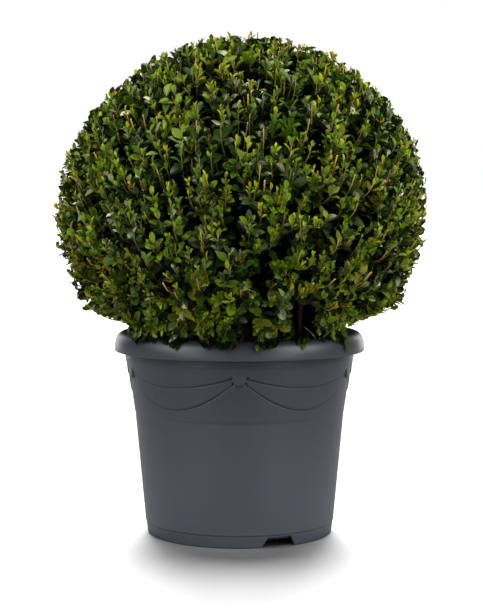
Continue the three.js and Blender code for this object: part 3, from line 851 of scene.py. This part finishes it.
innerLeaves = {"pairs": 6, "along": (0.25, 1.0), "length": (0.0112, 0.0192), "lean": 1.2}


def growInnerLeaves(twig):
    # old leaves along the twigs close the inside of the ball, in a near-black colour that is painted shade
    t = between(*innerLeaves["along"], (len(twig), innerLeaves["pairs"]))
    out = unit(twig[:, 2] - ballCentre)
    size = between(*innerLeaves["length"], t.shape)
    width, lean = (np.full(t.shape, value) for value in (leaf["width"], innerLeaves["lean"]))
    verts = leafPairs(twig, t, out, size, width, lean)
    return keepLeaves(verts, np.full(verts.shape[:3], innerShadeKind))


rimLeaves = {"count": 1700, "radius": (0.136, 0.1485), "rise": (0.2415, 0.2470), "length": (0.00875, 0.01625),
             "lean": (102, 134), "turnSpread": 0.5, "chances": (0.74, 0.16, 0.07, 0.03)}


def growRimLeaves():
    # old leaves lie over the pot's rim, hang out a little, thin here and thick there; most in painted shade
    count = rimLeaves["count"]
    turn = 2 * math.pi * rng.random(count)
    turn = turn + 0.12 * np.sin(7 * turn) + 0.05 * np.sin(17 * turn)
    radius, rise, size = (between(*rimLeaves[key], count) for key in ("radius", "rise", "length"))
    node, axis = around(turn, radius, rise), np.broadcast_to(up, (count, 3))
    side = heading(turn + rng.normal(0, rimLeaves["turnSpread"], count))
    lean = between(*np.radians(rimLeaves["lean"]), count)
    verts = placeLeaves(node, axis, side, unit(heading(turn) + up), size, np.full(count, leaf["width"]), lean)
    kind = rng.choice((shadeKind, deepKind, greenKind, dryKind), count, p=rimLeaves["chances"])
    return keepLeaves(verts, kind)


leafLook = {"darkest": 0.68, "lightest": 1.32, "tintScale": 60.0, "polish": 0.08,
            "shine": (1.0, 1.0, 0.62, 1), "underside": (0.13, 0.15, 0.03), "paler": 0.06}


def leafMaterial(name, color, roughness, gloss):
    # each leaf's tint and gloss wander a little round its kind's, and the underside is paler
    material, shader, nodes, links = plainMaterial(name, color, roughness, gloss)
    setSockets(shader, {"Specular Tint": leafLook["shine"]})
    dark, light = (tuple(c * leafLook[key] for c in color) for key in ("darkest", "lightest"))
    tint = placeMottle(nodes, dark, light, leafLook["tintScale"], Smoothest=roughness - leafLook["polish"],
                       Roughest=roughness + leafLook["polish"])
    paler = leafLook["paler"]
    pale = tuple((1 - paler) * c + paler * p for c, p in zip(light, leafLook["underside"]))
    facing = addNode(nodes, "NewGeometry")
    both = mixColors(nodes, links, facing.outputs["Backfacing"], tint.outputs["Color"], pale)
    links.new(both, shader.inputs["Base Color"])
    wire(links, (tint, "Roughness", shader, "Roughness"))
    return material


def creaseRibs(mesh):
    # the edges of the midribs stay sharp, so that the two halves of a blade shade apart
    ends = np.empty(len(mesh.edges) * 2, np.int32)
    mesh.edges.foreach_get("vertices", ends)
    onRib = np.isin(ends.reshape(-1, 2) % len(leafAlong), leafRib).all(1)
    mesh.attributes.new("sharp_edge", "BOOLEAN", "EDGE").data.foreach_set("value", onRib)


def makeLeaves(verts, kind):
    # each kind apart, in as many pieces as its triangles need
    for k, (name, look) in enumerate(leafKinds.items()):
        material = leafMaterial(name, *look)
        mine = verts[kind == k]
        count = math.ceil(len(mine) * len(leafFaces) / leaf["mostTriangles"])
        for i, part in enumerate(np.array_split(mine, count)):
            faces = repeatFaces(leafFaces, len(part), len(leafAlong))
            part = part.reshape(-1, 3)
            piece = meshPiece(f"{name}{i + 1}", part, faces, material, ["foliage_ball"])
            creaseRibs(piece.data)


# twigs and shoots

woodLook = {"scale": 120.0, "specular": 0.3, "bump": 0.3, "bumpHeight": 0.0004}
woodKinds = {  # two colours, roughness
    "branchWood": ((0.030, 0.018, 0.010), (0.075, 0.042, 0.020), 0.8),
    "twigWood": ((0.045, 0.026, 0.010), (0.120, 0.070, 0.024), 0.75),
    "brownShoots": ((0.070, 0.045, 0.012), (0.190, 0.120, 0.030), 0.6),
    "oliveShoots": ((0.090, 0.085, 0.012), (0.210, 0.190, 0.024), 0.55),
    "goldShoots": ((0.260, 0.160, 0.014), (0.480, 0.330, 0.030), 0.55),
    "cutTips": ((0.420, 0.320, 0.120), (0.600, 0.500, 0.240), 0.7),
    "dryStalks": ((0.300, 0.280, 0.180), (0.450, 0.420, 0.280), 0.7),
}


def makeWood(name, curves, size):
    verts, faces = tubes(curves, size)
    first, second, roughness = woodKinds[name]
    material = mottledMaterial(name, {**woodLook, "first": first, "second": second, "roughness": roughness})
    meshPiece(name, verts, faces, material, ["foliage_ball"])


shootKinds = {"brownShoots": 0.38, "oliveShoots": 0.38, "goldShoots": 0.24}
cutTips = {"back": 0.0004, "ahead": 0.0008, "wider": 1.05, "narrower": 0.95, "rings": 3, "sides": 6}


def makeShoots(shoot, tip):
    # the bare clipped shoots are thicker and golden, and short straight pieces of pale wood show at cut ends
    bare, cut = tip == 0, tip <= 1
    names = np.array(list(shootKinds))[rng.choice(3, len(shoot), p=list(shootKinds.values()))]
    names[bare] = "goldShoots"
    radius, tipRadius = (np.where(bare, shoots["bareRadius"], shoots[key]) for key in ("radius", "tipRadius"))
    for name in shootKinds:
        mine = names == name
        makeWood(name, shoot[mine], {**shoots, "radius": radius[mine], "tipRadius": tipRadius[mine]})
    end, along = shoot[cut, 2], unit(shoot[cut, 2] - shoot[cut, 1])
    start, stop = end - along * cutTips["back"], end + along * cutTips["ahead"]
    wider, narrower = (tipRadius[cut] * cutTips[key] for key in ("wider", "narrower"))
    curves = np.stack([start, (start + stop) / 2, stop], 1)
    makeWood("cutTips", curves, {**cutTips, "radius": wider, "tipRadius": narrower})


# strays at the rim

blade = {"path": ((0.108, -0.075, 0.262), (0.126, -0.091, 0.250), (0.1245, -0.0890, 0.2225)),
         "span": (0.04, 0.97), "rings": 24, "points": 12, "half": 0.0046, "thick": 0.0003,
         "color": (0.022, 0.040, 0.003), "roughness": 0.55, "gloss": 0.1}
stalks = {"paths": (((0.0881, -0.095, 0.239), (0.0824, -0.104, 0.2516), (0.0741, -0.108, 0.2555)),
                    ((0.0881, -0.095, 0.239), (0.103, -0.090, 0.2456), (0.1067, -0.085, 0.2535))),
          "radius": 0.0006, "tipRadius": 0.0003, "rings": 16, "sides": 6}


def makeStrays():
    # a weed's blade over the lip: flat ovals carried along a curve, narrowing to both ends by a sine
    t = np.linspace(*blade["span"], blade["rings"])
    turn = np.linspace(0, 2 * math.pi, blade["points"], endpoint=False)[:, None]
    centre, along = (x[0] for x in follow(np.array(blade["path"])[None], t[None]))
    across = unit(np.cross(along, unit(np.array(blade["path"][2]) * np.array([1, 1, 0]))))
    narrowing = np.sqrt(np.sin(math.pi * t))[:, None, None]
    oval = (blade["half"] * np.cos(turn) * across[:, None]
            + blade["thick"] * np.sin(turn) * np.cross(across, along)[:, None])
    verts, faces = ringSurface(centre[:, None] + narrowing * oval)
    material = leafMaterial("bladeGreen", blade["color"], blade["roughness"], blade["gloss"])
    meshPiece("hangingBlade", verts, faces, material, ["foliage_ball"])
    makeWood("dryStalks", np.array(stalks["paths"]), stalks)


print("foliage")
branch = growInside(limbs, branches, branches["share"])
twigShare = twigs["share"] + twigs["spread"] * (rng.random(twigs["count"]) - 0.5)
twig = growInside(branch, twigs, twigShare)
onBall, feeder, shoot, share = growShoots(twig)
# a shoot's tip is 0 bare, 1 cut, 2 young or 3 grown
tip = np.searchsorted((shoots["bare"], shoots["cut"], shoots["young"]), rng.random(len(shoot)))
makeWood("branchWood", branch, branches)
makeWood("twigWood", twig, twigs)
makeShoots(shoot, tip)
outer = growLeaves(onBall, shoot, feeder, tip, share)
inner = growInnerLeaves(np.concatenate([twig, branch]))
leafVerts, leafKind = (np.concatenate(x) for x in zip(outer, inner, growRimLeaves()))
print("   leaves:", len(leafVerts))
makeLeaves(leafVerts, leafKind)
makeStrays()


# stage: floor, light and camera

stage = {
    "floorSize": 30.0, "floorSeen": 0.9, "floorBounce": 0.26,  # white sweep, exposed to pure white
    "worldDim": 0.025, "worldBright": 0.13,
    "worldAim": (0.0, 0.75, 0.66), "worldBetween": (-0.6, 0.9),  # brightest behind and above
    "suns": (  # name, where it comes from, strength, spread in degrees, what it lights
        ("topLight", (0.1, -0.45, 1.0), 3.0, 26.0, "object"),
        ("backLight", (0.0, 0.407, 0.914), 3.5, 44.0, "floor"),
        ("lowBackLight", (0.0, 0.899, 0.438), 5.9, 32.0, "floor"),
        ("frontFill", (0.0, -0.6, 0.8), 0.22, 40.0, "floor"),
    ),
    "boxes": (  # names, place and aim of the right one, width, height, powers, what they light
        (("leftBox", "rightBox"), (1.85, -1.06, 1.45), (0, 0, 0.3), 1.6, 1.3, (32.0, 34.5), "object"),
        (("leftRim", "rightRim"), (0.95, 1.7, 0.3), (0, 0, 0.2), 0.6, 0.9, (6.5, 6.5), "object"),
        (("lowCard",), (0.0, -0.75, 0.02), (0, -0.05, 0.12), 1.0, 0.35, (0.25,), "object"),
        (("leftLow", "rightLow"), (0.80, -0.95, 0.30), (0.05, -0.12, 0.25), 0.5, 0.25, (1.8, 1.8), "object"),
        (("leftGlow", "rightGlow"), (0.75, -0.95, 0.12), (0.05, -0.12, 0.28), 0.5, 0.25, (1, 1), "leaves"),
    ),
}


def makeWorld():
    # white to the camera; as light, a dim room in front that brightens to a white wall behind and above
    world = bpy.data.worlds.new("softRoom")
    bpy.context.scene.world = world
    world.use_nodes = True
    nodes, links = world.node_tree.nodes, world.node_tree.links
    room = setSockets(nodes["Background"], {"Color": (1, 1, 1, 1)})
    white = addNode(nodes, "Background", {"Color": (1, 1, 1, 1)})
    place, aim, path, choose = (addNode(nodes, kind) for kind in (
        "TexCoord", "VectorMath", "LightPath", "MixShader"))
    aim.operation = "DOT_PRODUCT"
    setSockets(aim, {1: stage["worldAim"]})
    low, high = stage["worldBetween"]
    grade = addNode(nodes, "MapRange", {"From Min": low, "From Max": high, "To Min": stage["worldDim"],
                                        "To Max": stage["worldBright"]})
    wire(links, (place, "Generated", aim, 0), (aim, "Value", grade, "Value"),
         (grade, "Result", room, "Strength"), (path, "Is Camera Ray", choose, "Fac"),
         (room, "Background", choose, 1), (white, "Background", choose, 2),
         (choose, "Shader", nodes["World Output"], "Surface"))


def floorMaterial():
    # a matt white sweep: exposed to white where the camera sees it, and a moderate bounce for the object
    material = bpy.data.materials.new("paleFloor")
    material.use_nodes = True
    nodes, links = material.node_tree.nodes, material.node_tree.links
    nodes.clear()
    matt, path, end = (addNode(nodes, kind) for kind in ("BsdfDiffuse", "LightPath", "OutputMaterial"))
    seen, bounce = ((stage[key],) * 3 for key in ("floorSeen", "floorBounce"))
    links.new(mixColors(nodes, links, path.outputs["Is Camera Ray"], bounce, seen), matt.inputs["Color"])
    wire(links, (matt, "BSDF", end, "Surface"))
    return material


def addLamp(name, light, place, aim, lit):
    lamp = bpy.data.objects.new(name, light)
    lamp.location = place
    lamp.rotation_euler = (Vector(aim) - Vector(place)).to_track_quat("-Z", "Y").to_euler()
    bpy.context.scene.collection.objects.link(lamp)
    lamp.light_linking.receiver_collection = lit
    lamp.visible_camera = False
    return lamp


def makeStage():
    size = stage["floorSize"]
    mesh = bpy.data.meshes.new("floor")
    corners = [(-size, -size, 0), (size, -size, 0), (size, size, 0), (-size, size, 0)]
    mesh.from_pydata(corners, [], [(0, 1, 2, 3)])
    mesh.materials.append(floorMaterial())
    floor = bpy.data.objects.new("floor", mesh)
    bpy.context.scene.collection.objects.link(floor)
    makeWorld()
    lit = {}  # the object's lamps leave the floor out, and two low ones light the plant alone
    for name, state, pieces in (("floor", "INCLUDE", [floor]), ("object", "EXCLUDE", [floor]),
                                ("leaves", "EXCLUDE", [floor, potShell, potKnots])):
        lit[name] = bpy.data.collections.new(name + "Light")
        for i, piece in enumerate(pieces):
            lit[name].objects.link(piece)
            lit[name].collection_objects[i].light_linking.link_state = state
    shade = bpy.data.collections.new("floorShade")  # the floor shows the pot's shadow alone, as in the photo
    shade.objects.link(potShell)
    for name, source, strength, spread, what in stage["suns"]:
        light = bpy.data.lights.new(name, "SUN")
        light.energy, light.angle = strength, math.radians(spread)
        lamp = addLamp(name, light, source, (0, 0, 0), lit[what])
        if what == "floor":
            lamp.light_linking.blocker_collection = shade
    for names, (x, *place), (aimX, *aim), width, height, powers, what in stage["boxes"]:
        for name, power, side in zip(names, powers, (-1, 1)):
            light = bpy.data.lights.new(name, "AREA")
            light.shape = "RECTANGLE"
            light.size, light.size_y, light.energy = width, height, power
            addLamp(name, light, (side * x, *place), (side * aimX, *aim), lit[what])
    bpy.context.scene.view_settings.view_transform = "Standard"


view = {"place": (0.0024, -2.1038, 0.4313), "pitch": 4.33, "focal": 1754.9, "imageHeight": 612,
        "sensor": 36.0}


def makeCamera():
    # the focal length in pixels of the picture's height, carried to the sensor's longer side
    camera = bpy.data.cameras.new("photoView")
    camera.sensor_fit = "AUTO"
    camera.sensor_width = view["sensor"]
    camera.lens = view["focal"] / view["imageHeight"] * view["sensor"]
    eye = bpy.data.objects.new("photoView", camera)
    eye.location = view["place"]
    eye.rotation_euler = (math.radians(90 - view["pitch"]), 0, 0)
    bpy.context.scene.collection.objects.link(eye)
    bpy.context.scene.camera = eye


print("stage")
makeStage()
makeCamera()
